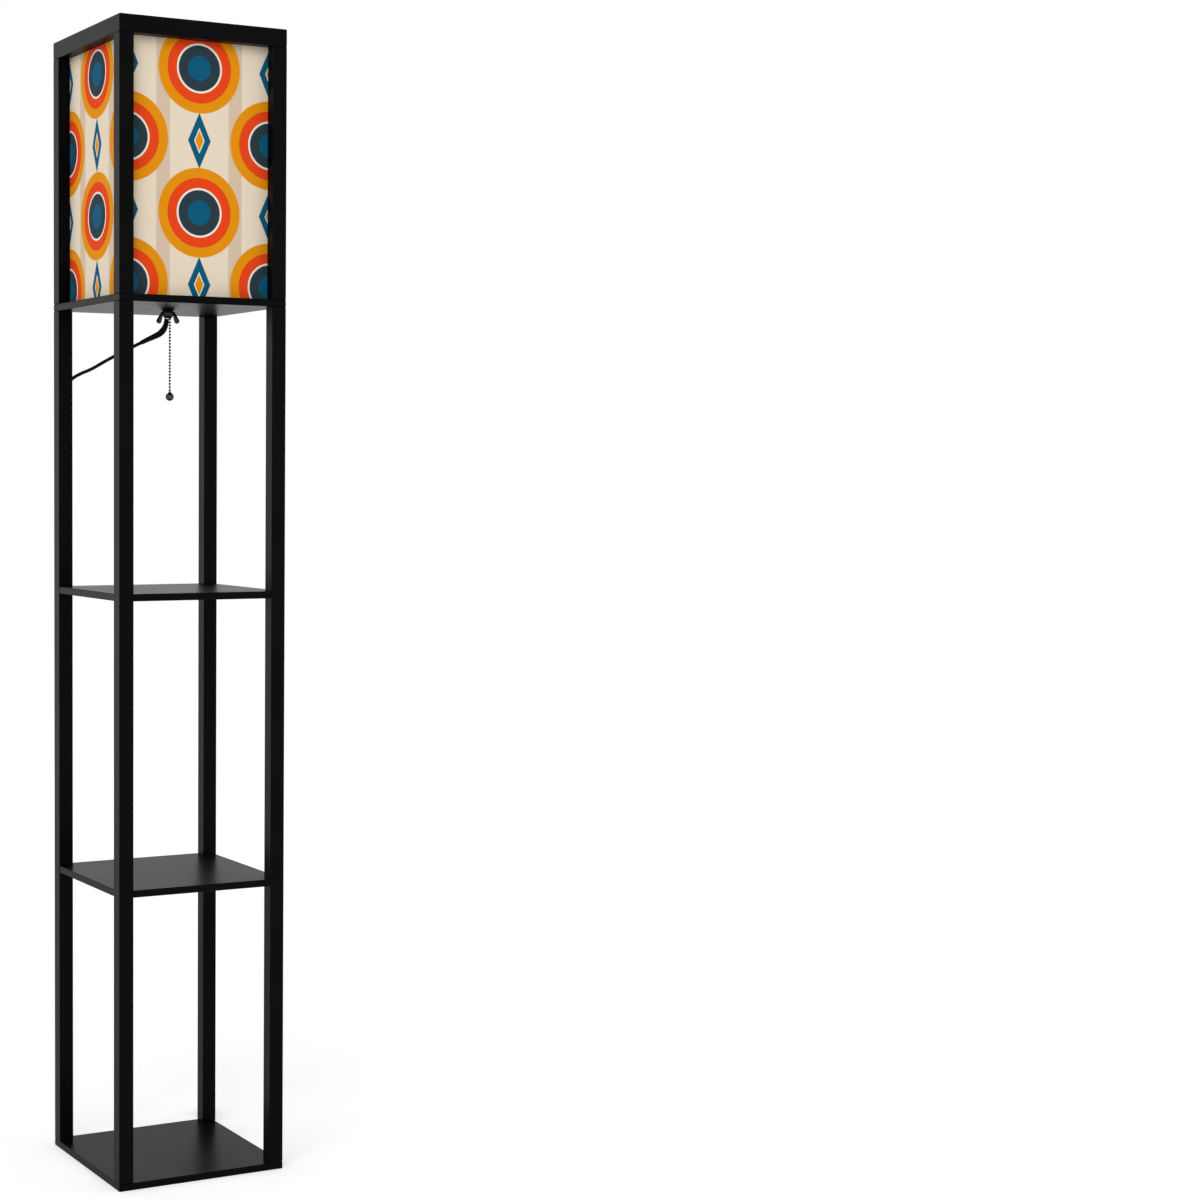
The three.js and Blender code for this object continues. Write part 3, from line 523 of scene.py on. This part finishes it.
def print_cloth(name, across):
    """Printed linen outside, white liner inside, for a panel that runs along one axis."""
    made = Shading(name)
    place = made.place()
    parts = made.parts_of(place)
    threads = woven_threads(made, across, place, parts)
    tinted = made.node("ShaderNodeVectorMath", operation="SCALE")
    made.feed(tinted.inputs[0], printed_colour(made, across, place, parts))
    made.feed(tinted.inputs["Scale"], made.between(threads, low=0.90, high=1.06))
    inside = made.math("LESS_THAN", made.math("ABSOLUTE", parts[1 - across]), PANEL_MIDDLE)
    liner = made.mix(made.noise(place, scale=30, detail=2), LINER_DARK, LINER_LIGHT)
    made.set("Base Color", made.mix(inside, tinted.outputs[0], liner))
    made.set("Roughness", made.between(threads, low=0.82, high=0.95))
    made.set("Specular IOR Level", CLOTH_GLOSS)
    made.bump(threads, strength=0.35, distance=0.0003)
    return made.material


def frosted_glass():
    made = Shading("bulb_glass_frosted")
    haze = made.noise(made.place(), scale=60)
    made.set("Base Color", made.mix(haze, GLASS_DARK, GLASS_LIGHT))
    made.set("Roughness", made.between(haze, low=0.18, high=0.3))
    made.set("Transmission Weight", GLASS_CLEARNESS)
    return made.material


def as_object(name, form, material, angle=35):
    mesh = bpy.data.meshes.new(name)
    bmesh.ops.remove_doubles(form, verts=form.verts, dist=MERGE_DISTANCE)
    bmesh.ops.recalc_face_normals(form, faces=form.faces)
    form.to_mesh(mesh)
    form.free()
    mesh.shade_smooth()
    mesh.set_sharp_from_angle(angle=math.radians(angle))
    mesh.materials.append(material)
    made = bpy.data.objects.new(name, mesh)
    bpy.context.scene.collection.objects.link(made)
    return made


def stands_for(piece, body, slot, *nodes):
    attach(piece, body)
    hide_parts(*nodes)


def add_turned(form, profile, sides, centre=(0, 0)):
    """Turned form round the vertical line through the centre, from radius and level."""
    rings = []
    for radius, level in profile:
        count = sides if radius > 0 else 1
        ring = []
        for side in range(count):
            angle = 2 * math.pi * side / count
            x = centre[0] + radius * math.cos(angle)
            y = centre[1] + radius * math.sin(angle)
            ring.append(form.verts.new((x, y, level)))
        rings.append(ring)
    for below, above in zip(rings, rings[1:]):
        for side in range(sides):
            following = (side + 1) % sides
            corners = [
                below[side % len(below)],
                below[following % len(below)],
                above[following % len(above)],
                above[side % len(above)],
            ]
            kept = list(dict.fromkeys(corners))
            if len(kept) > 2:
                form.faces.new(kept)


def turned(profile, sides, foot=0.0, centre=(0, 0)):
    """New turned form whose levels count from its foot."""
    form = bmesh.new()
    add_turned(form, [(radius, foot + level) for radius, level in profile], sides, centre)
    return form


def add_plate(form, outline, low, high, rounding, segments=3):
    """Flat outline pulled up from one level to another, all its edges rounded."""
    lower = [form.verts.new((x, y, low)) for x, y in outline]
    upper = [form.verts.new((x, y, high)) for x, y in outline]
    faces = [form.faces.new(list(reversed(lower))), form.faces.new(upper)]
    for index in range(len(outline)):
        following = (index + 1) % len(outline)
        faces.append(form.faces.new((lower[index], lower[following], upper[following], upper[index])))
    edges = list(dict.fromkeys(edge for face in faces for edge in face.edges))
    bmesh.ops.bevel(form, geom=edges, offset=rounding, segments=segments, affect="EDGES", profile=0.5)


def moved(form, matrix):
    bmesh.ops.transform(form, matrix=matrix, verts=form.verts)


def joined(form, other):
    """Everything of the other form is added to the first one."""
    mesh = bpy.data.meshes.new("joined")
    other.to_mesh(mesh)
    other.free()
    form.from_mesh(mesh)
    bpy.data.meshes.remove(mesh)


def ball_profile(centre, radius, steps, stop=math.pi / 2, start=-math.pi / 2):
    points = []
    for step in range(steps + 1):
        angle = start + (stop - start) * step / steps
        points.append((max(radius * math.cos(angle), 0), centre + radius * math.sin(angle)))
    return points


def rounded_end(centre, radius, start, steps=10):
    points = []
    for step in range(steps + 1):
        angle = start + math.pi * step / steps
        points.append((centre[0] + radius * math.cos(angle), centre[1] + radius * math.sin(angle)))
    return points


def make_cord(material, pieces):
    data = bpy.data.curves.new("mains_cord", "CURVE")
    data.dimensions = "3D"
    data.bevel_depth = CORD_DIAMETER / 2
    data.bevel_resolution = CORD_SMOOTHNESS
    data.use_fill_caps = True
    points = curve_points(CORD_ROUTE, POINTS_PER_SEGMENT, SEGMENTS_IN_SLEEVE)
    spline = data.splines.new("POLY")
    spline.points.add(len(points) - 1)
    for spot, point in zip(spline.points, points):
        spot.co = (*point, 1)
    data.materials.append(material)
    cord = bpy.data.objects.new("mains_cord", data)
    bpy.context.scene.collection.objects.link(cord)
    stands_for(cord, "stand", "black_rubber", "power_cord")


def sleeve_radius(index, last):
    """Radius at one ring of the sleeve: growing, then tapering, with a rib now and then."""
    share = index / last
    grown = min(share / SLEEVE_WIDEST_SHARE, 1)
    taper = max((share - SLEEVE_WIDEST_SHARE) / (1 - SLEEVE_WIDEST_SHARE), 0)
    start, widest, end = SLEEVE_RADII
    radius = start + (widest - start) * grown
    radius += (end - radius) * taper
    ribbed = SLEEVE_PLAIN_RINGS < index < last - 1 and index % RINGS_PER_RIB == 1
    return radius - SLEEVE_RIB if ribbed else radius


def make_sleeve(material):
    """Ribbed tapered sleeve round the cord where it leaves the lamp holder."""
    points = curve_points(CORD_ROUTE, POINTS_PER_SEGMENT)[:SLEEVE_SEGMENTS * POINTS_PER_SEGMENT + 1]
    form = bmesh.new()
    normal = Vector((1, 0, 0))
    rings = []
    last = len(points) - 1
    for index, point in enumerate(points):
        ahead = points[min(index + 1, last)] - points[max(index - 1, 0)]
        ahead.normalize()
        normal = (normal - ahead * normal.dot(ahead)).normalized()
        across = ahead.cross(normal)
        radius = sleeve_radius(index, last)
        ring = []
        for side in range(SLEEVE_SIDES):
            angle = 2 * math.pi * side / SLEEVE_SIDES
            outward = normal * math.cos(angle) + across * math.sin(angle)
            ring.append(form.verts.new(point + outward * radius))
        rings.append(ring)
    for below, above in zip(rings, rings[1:]):
        for side in range(SLEEVE_SIDES):
            following = (side + 1) % SLEEVE_SIDES
            form.faces.new((below[side], below[following], above[following], above[side]))
    form.faces.new(list(reversed(rings[0])))
    form.faces.new(rings[-1])
    sleeve = as_object("ribbed_sleeve", form, material, 50)
    stands_for(sleeve, "stand", "black_rubber", "strain_relief")
    return sleeve


def plug_neck():
    """Ribbed neck that widens from the cord to the plug's body."""
    profile = [(0, FIT_GAP)]
    for rib in range(NECK_RIBS):
        level = FIT_GAP + rib * NECK_RIB_PITCH
        radius = NECK_RADIUS + rib * NECK_GROWTH
        groove = radius - NECK_GROOVE_DEPTH
        profile += [(radius, level), (radius, level + NECK_RIB_LENGTH)]
        profile += [(groove, level + NECK_GROOVE_START), (groove, level + NECK_GROOVE_END)]
    profile += [(NECK_END_RADIUS, NECK_LAST_RING), (NECK_END_RADIUS, NECK_LENGTH), (0, NECK_LENGTH)]
    neck = turned(profile, NECK_SIDES)
    moved(neck, Matrix.Rotation(math.pi / 2, 4, "Y"))
    return neck


def make_plug(material):
    """Moulded plug with a ribbed neck, lying flat behind the rear post."""
    end = Vector(CORD_ROUTE[-1])
    before = Vector(CORD_ROUTE[-2])
    turn = math.atan2(end.y - before.y, end.x - before.x)
    one_side = [
        (PLUG_START, PLUG_HALF_START), (PLUG_SHOULDER, PLUG_HALF_WIDTH),
        (PLUG_END - PLUG_CORNER, PLUG_HALF_WIDTH), (PLUG_END, PLUG_HALF_WIDTH - PLUG_CORNER),
    ]
    outline = [(x, -y) for x, y in one_side] + one_side[::-1]
    plug = bmesh.new()
    add_plate(plug, outline, -PLUG_HALF_HEIGHT, PLUG_HALF_HEIGHT, PLUG_ROUNDING)
    joined(plug, plug_neck())
    moved(plug, Matrix.Translation(end) @ Matrix.Rotation(turn, 4, "Z"))
    made = as_object("moulded_plug", plug, material, 40)
    stands_for(made, "stand", "black_rubber", "plug_body")
    return made


def chain_centre():
    return (-CHAIN_OFFSET * math.cos(CHAIN_TURN), -CHAIN_OFFSET * math.sin(CHAIN_TURN))


def bead_profile(levels):
    """Round beads one above another with a stretch of thin wire between, going up."""
    waist = math.acos(WIRE_RADIUS / BEAD_RADIUS)
    lowest = levels[0] - BEAD_RADIUS * math.sin(waist)
    profile = [(0, lowest)]
    for level in levels:
        profile += ball_profile(level, BEAD_RADIUS, BEAD_STEPS, waist, -waist)
    return profile


def make_on_chain(name, profile, sides, material, body, node):
    form = turned(profile, sides, centre=chain_centre())
    stands_for(as_object(name, form, material), body, "chain_chrome", node)


def make_strung(name, levels, top, material, body, node):
    """Piece of the bead chain whose wire ends at the top level."""
    profile = bead_profile(levels) + [(WIRE_RADIUS, top), (0, top)]
    make_on_chain(name, profile, BEAD_SIDES, material, body, node)


def make_rod(material):
    """Switch rod: its lowest beads, the plain rod and the collar that the spring presses on."""
    rod_start = UPPER_PIVOT + ROD_BEADS * BEAD_PITCH
    levels = [UPPER_PIVOT + count * BEAD_PITCH for count in range(ROD_BEADS)]
    rounded = COLLAR_RADIUS - SMALL_EDGE
    collar_top = COLLAR_LEVEL + COLLAR_HEIGHT
    profile = bead_profile(levels) + [
        (WIRE_RADIUS, rod_start - BEAD_RADIUS), (ROD_RADIUS, rod_start), (ROD_RADIUS, COLLAR_LEVEL),
        (rounded, COLLAR_LEVEL), (COLLAR_RADIUS, COLLAR_LEVEL + SMALL_EDGE),
        (COLLAR_RADIUS, collar_top - SMALL_EDGE), (rounded, collar_top), (0, collar_top),
    ]
    make_on_chain("switch_rod_beads", profile, ROD_SIDES, material, "switch_rod", "pull_rod")


def make_ball(neck_top, material):
    neck_angle = math.acos(BALL_NECK_FOOT / BALL_RADIUS)
    profile = ball_profile(neck_top - BALL_DROP, BALL_RADIUS, BALL_STEPS, neck_angle)
    profile += [
        (BALL_NECK_RADIUS, profile[-1][1] + SMALL_EDGE), (BALL_NECK_RADIUS, neck_top - BALL_NECK_ROUNDING),
        (BALL_NECK_TOP, neck_top), (0, neck_top),
    ]
    make_on_chain("chain_end_ball", profile, BALL_SIDES, material, "lower_chain", "pull_ball")


def make_chain(material, ball_material):
    make_rod(material)
    upper_levels = [LOWER_PIVOT, LOWER_PIVOT + BEAD_PITCH]
    upper_top = UPPER_PIVOT - BEAD_RADIUS - FIT_GAP
    make_strung("chain_top_beads", upper_levels, upper_top, material, "upper_chain", "chain_upper")
    lower_levels = [LOWER_PIVOT - count * BEAD_PITCH for count in range(CHAIN_BEADS, 0, -1)]
    lower_top = LOWER_PIVOT - BEAD_RADIUS - FIT_GAP
    make_strung("chain_long_beads", lower_levels, lower_top, material, "lower_chain", "chain_lower")
    make_ball(lower_levels[0] - BEAD_RADIUS - FIT_GAP, ball_material)


def wing_outline():
    """Paddle that droops from the hub, cut off where it enters the hub's wall."""
    lean = math.atan2(WING_TIP[1] - WING_ROOT[1], WING_TIP[0] - WING_ROOT[0])
    outline = rounded_end(WING_TIP, WING_TIP_RADIUS, lean - math.pi / 2)
    outline += rounded_end(WING_ROOT, WING_ROOT_RADIUS, lean + math.pi / 2)
    return list(dict.fromkeys((max(x, WING_INNER), y) for x, y in outline))


def make_wing_nut(material):
    nut = turned(NUT_PROFILE, NUT_SIDES)
    for half_turn in (0, math.pi):
        wing = bmesh.new()
        add_plate(wing, wing_outline(), -WING_HALF_THICKNESS, WING_HALF_THICKNESS, WING_ROUNDING)
        moved(wing, Matrix.Rotation(half_turn, 4, "Z") @ Matrix.Rotation(math.pi / 2, 4, "X"))
        joined(nut, wing)
    top = SHELF_BOTTOM - WASHER_THICKNESS
    moved(nut, Matrix.Translation((0, 0, top)) @ Matrix.Rotation(NUT_TURN, 4, "Z"))
    stands_for(as_object("winged_nut", nut, material, 40), "stand", "dark_chrome", "wing_nut")


def make_washer(material):
    form = turned(WASHER_PROFILE, NUT_SIDES, foot=SHELF_BOTTOM - WASHER_THICKNESS)
    stands_for(as_object("flat_washer", form, material), "stand", "dark_chrome", "washer")


def make_tube(material):
    """Threaded tube; the thread shows on the stretch below the shelf."""
    profile = [(TUBE_BORE, MOUTH_LEVEL), (THREAD_ROOT, MOUTH_LEVEL)]
    for turn in range(THREAD_TURNS):
        level = MOUTH_LEVEL + THREAD_START + turn * THREAD_PITCH
        profile += [(TUBE_RADIUS, level), (THREAD_ROOT, level + THREAD_PITCH / 2)]
    profile += [
        (TUBE_RADIUS, MOUTH_LEVEL + TUBE_PLAIN_START), (TUBE_RADIUS, FLANGE_BOTTOM),
        (FLANGE_RADIUS, FLANGE_BOTTOM), (FLANGE_RADIUS, FLANGE_TOP), (TUBE_BORE, FLANGE_TOP),
        (TUBE_BORE, MOUTH_LEVEL),
    ]
    form = turned(profile, TUBE_SIDES)
    stands_for(as_object("threaded_tube", form, material, 25), "stand", "dark_chrome", "threaded_nipple")


def make_holder(material):
    profile = list(HOLDER_FOOT_PROFILE)
    for ridge in range(HOLDER_RIDGES):
        start = RIDGE_START + ridge * RIDGE_PITCH
        profile += [(radius, start + level) for radius, level in RIDGE_PROFILE]
    form = turned(profile + HOLDER_TOP_PROFILE, HOLDER_SIDES, foot=SHELF_TOP)
    stands_for(as_object("holder_shell", form, material), "stand", "black_plastic", "socket_housing")


def make_bulb_cap(material):
    """Screw cap with its rolled thread as even waves."""
    profile = list(CAP_FOOT_PROFILE)
    for step in range(CAP_THREAD_TURNS * STEPS_PER_TURN + 1):
        level = CAP_THREAD_START + CAP_THREAD_PITCH * step / STEPS_PER_TURN
        wave = (1 - math.cos(2 * math.pi * step / STEPS_PER_TURN)) / 2
        profile.append((CAP_ROOT_RADIUS + CAP_THREAD_DEPTH * wave, level))
    profile += [(CAP_ROOT_RADIUS, CAP_TOP), (0, CAP_TOP)]
    form = turned(profile, CAP_SIDES, foot=BULB_FOOT)
    stands_for(as_object("bulb_screw_cap", form, material), "bulb", "steel", "bulb_cap")


def make_bulb_glass(material):
    """Thin pear-shaped glass, open at the neck."""
    dome = ball_profile(GLASS_CENTRE, GLASS_RADIUS, GLASS_STEPS, math.pi / 2, 0)
    outside = GLASS_NECK_PROFILE + dome
    top = GLASS_CENTRE + GLASS_RADIUS
    inside = [
        (max(radius - GLASS_WALL, 0), min(level, top - GLASS_WALL)) for radius, level in reversed(outside)
    ]
    profile = outside[:-1] + [(0, top)] + inside + [outside[0]]
    form = turned(profile, GLASS_SIDES, foot=BULB_FOOT)
    stands_for(as_object("bulb_envelope", form, material, 60), "bulb", "bulb_glass", "bulb_glass")


def dress(names, material):
    for name in names:
        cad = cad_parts[name]
        for slot in cad.material_slots:
            slot.material = material


def at_corners(*kinds):
    return [f"{kind}_{corner}" for kind in kinds for corner in CORNERS]


def dress_frame():
    along_x = lacquer("lacquer_along_x", 0)
    along_y = lacquer("lacquer_along_y", 1)
    upright = lacquer("lacquer_upright", 2)
    dress(["base_board", "lower_shelf", "middle_shelf", "lamp_shelf"], along_x)
    dress(["top_rail_front", "top_rail_rear"], along_x)
    dress(["top_rail_left", "top_rail_right"], along_y)
    dress(at_corners("lower_post", "upper_post"), upright)


def dress_shade():
    dress(["shade_panel_front", "shade_panel_rear"], print_cloth("printed_linen_front", 0))
    dress(["shade_panel_left", "shade_panel_right"], print_cloth("printed_linen_side", 1))


def dress_fixings(zinc, brass, plastic, rubber):
    dress(at_corners("post_stud", "base_screw", "top_screw", "lower_shelf_pin", "middle_shelf_pin"), zinc)
    dress(["return_spring"], zinc)
    dress(["screw_shell", "centre_contact", "plug_insert"], brass)
    dress(["cord_clip_upper", "cord_clip_lower"], plastic)
    dress(["inner_lead"], rubber)


def make_stage():
    """Pale floor that keeps the shadow, its own glow stronger away from the object."""
    mesh = bpy.data.meshes.new("floor")
    reach = FLOOR_REACH
    corners = [(-reach, -reach, 0), (reach, -reach, 0), (reach, reach, 0), (-reach, reach, 0)]
    mesh.from_pydata(corners, [], [(0, 1, 2, 3)])
    floor = bpy.data.objects.new("floor", mesh)
    bpy.context.scene.collection.objects.link(floor)
    made = Shading("pale_floor")
    made.set("Base Color", FLOOR_COLOUR)
    made.set("Roughness", FLOOR_ROUGHNESS)
    made.set("Specular IOR Level", 0.0)
    made.set("Emission Color", WHITE)
    parts = made.parts_of(made.place())
    away = made.math("DIVIDE", made.length(parts[0], parts[1]), FLOOR_FADE)
    glow = made.between(made.math("MINIMUM", away, 1.0), FLOOR_GLOW_NEAR, FLOOR_GLOW_FAR)
    made.set("Emission Strength", made.math("MULTIPLY", glow, seen_rays(made.tree, 0.0, 1.0)))
    mesh.materials.append(made.material)


def seen_rays(tree, plain_value, seen_value):
    """The first value for the light that falls on things, the second where the white itself is seen."""
    rays = tree.nodes.new("ShaderNodeLightPath")
    total = rays.outputs["Is Camera Ray"]
    for name in ("Is Glossy Ray", "Is Transmission Ray"):
        adding = tree.nodes.new("ShaderNodeMath")
        adding.operation = "MAXIMUM"
        tree.links.new(total, adding.inputs[0])
        tree.links.new(rays.outputs[name], adding.inputs[1])
        total = adding.outputs[0]
    spread = tree.nodes.new("ShaderNodeMapRange")
    tree.links.new(total, spread.inputs["Value"])
    spread.inputs["To Min"].default_value = plain_value
    spread.inputs["To Max"].default_value = seen_value
    return spread.outputs["Result"]


def make_surround():
    world = bpy.data.worlds.new("white_surround")
    world.use_nodes = True
    bpy.context.scene.world = world
    surround = world.node_tree.nodes["Background"]
    surround.inputs["Color"].default_value = WHITE
    strength = seen_rays(world.node_tree, SURROUND_LIGHT, SURROUND_SEEN)
    world.node_tree.links.new(strength, surround.inputs["Strength"])


def add_lamp(name, place, size, power):
    data = bpy.data.lights.new(name, "AREA")
    data.energy = power
    data.size = size
    lamp = bpy.data.objects.new(name, data)
    lamp.location = place
    aim = Vector(LAMP_TARGET) - Vector(place)
    lamp.rotation_euler = aim.to_track_quat("-Z", "Y").to_euler()
    bpy.context.scene.collection.objects.link(lamp)


bpy.context.scene.view_settings.view_transform = "Standard"
make_camera()

rubber_shading = plain("cord_rubber", RUBBER_DARK, RUBBER_LIGHT, roughness=0.5, scale=200)
rubber_shading.set("Specular IOR Level", RUBBER_GLOSS)
rubber = rubber_shading.material
make_cord(rubber, [make_sleeve(rubber), make_plug(rubber)])

bright = dark_metal("bead_chrome", BEAD_DARK, BEAD_LIGHT, roughness=0.2, scale=400, depth=0.05)
dark = dark_metal("dark_chrome", NUT_DARK, NUT_LIGHT, roughness=0.14, scale=300, depth=0.05)
polished = dark_metal("ball_chrome", BALL_DARK, BALL_LIGHT, roughness=0.1, scale=300, depth=0.03)
zinc = plain("zinc_steel", ZINC_DARK, ZINC_LIGHT, roughness=0.35, metallic=1.0, scale=300).material
brass = plain("plain_brass", BRASS_DARK, BRASS_LIGHT, roughness=0.3, metallic=1.0, scale=300).material
plastic = plain("moulded_black", PLASTIC_DARK, PLASTIC_LIGHT, roughness=0.5, scale=160).material

make_chain(bright, polished)
make_wing_nut(dark)
make_washer(dark)
make_holder(plastic)
make_tube(dark)
make_bulb_cap(zinc)
make_bulb_glass(frosted_glass())
dress_frame()
dress_shade()
dress_fixings(zinc, brass, plastic, rubber)
make_stage()
make_surround()
for name, place, size, power in LAMPS:
    add_lamp(name, place, size, power)
